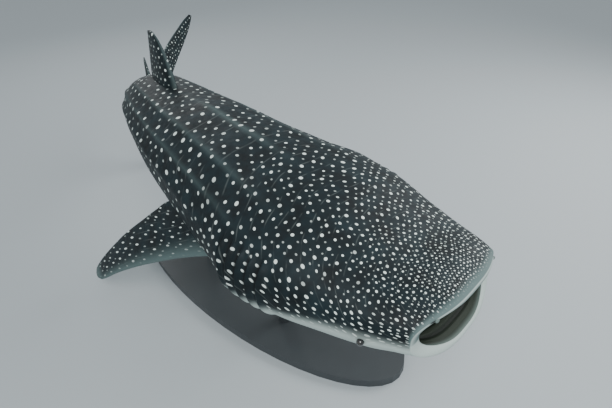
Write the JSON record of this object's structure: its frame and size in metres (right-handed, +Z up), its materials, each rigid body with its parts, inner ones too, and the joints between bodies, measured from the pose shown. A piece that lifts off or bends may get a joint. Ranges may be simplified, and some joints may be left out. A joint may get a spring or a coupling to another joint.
{
  "type": "whale shark display model",
  "caption": "Still life-size museum model of a swimming whale shark with its mouth open and tail swung to its left, spotted skin, on a flat oval base with upright rods.",
  "frame": {"origin": "centre of the underside of the stand's base, on the floor", "axes": "+Z up, the shark's head faces -Y and its left side is towards +X"},
  "size_m": [3.0859, 5.5109, 2.2035],
  "materials": {
    "skin": "satin dark skin with pale spots",
    "jaw_skin": "satin pale skin",
    "eye": "wet black gloss",
    "stand": "satin dark grey paint"
  },
  "bodies": {
    "root": {"head": "skin", "lower_jaw": "jaw_skin", "eye_left": "eye", "eye_right": "eye", "gills": "skin", "trunk_front": "skin", "trunk_middle": "skin", "trunk_rear": "skin", "tail_stock": "skin", "dorsal_first": "skin", "dorsal_second": "skin", "anal_fin": "skin", "pectoral_left": "skin", "pectoral_right": "skin", "pelvic_left": "skin", "pelvic_right": "skin", "caudal_upper": "skin", "caudal_lower": "skin", "stand_base": "stand", "stand_rod_front": "stand", "stand_rod_rear": "stand"}
  },
  "joints": []
}
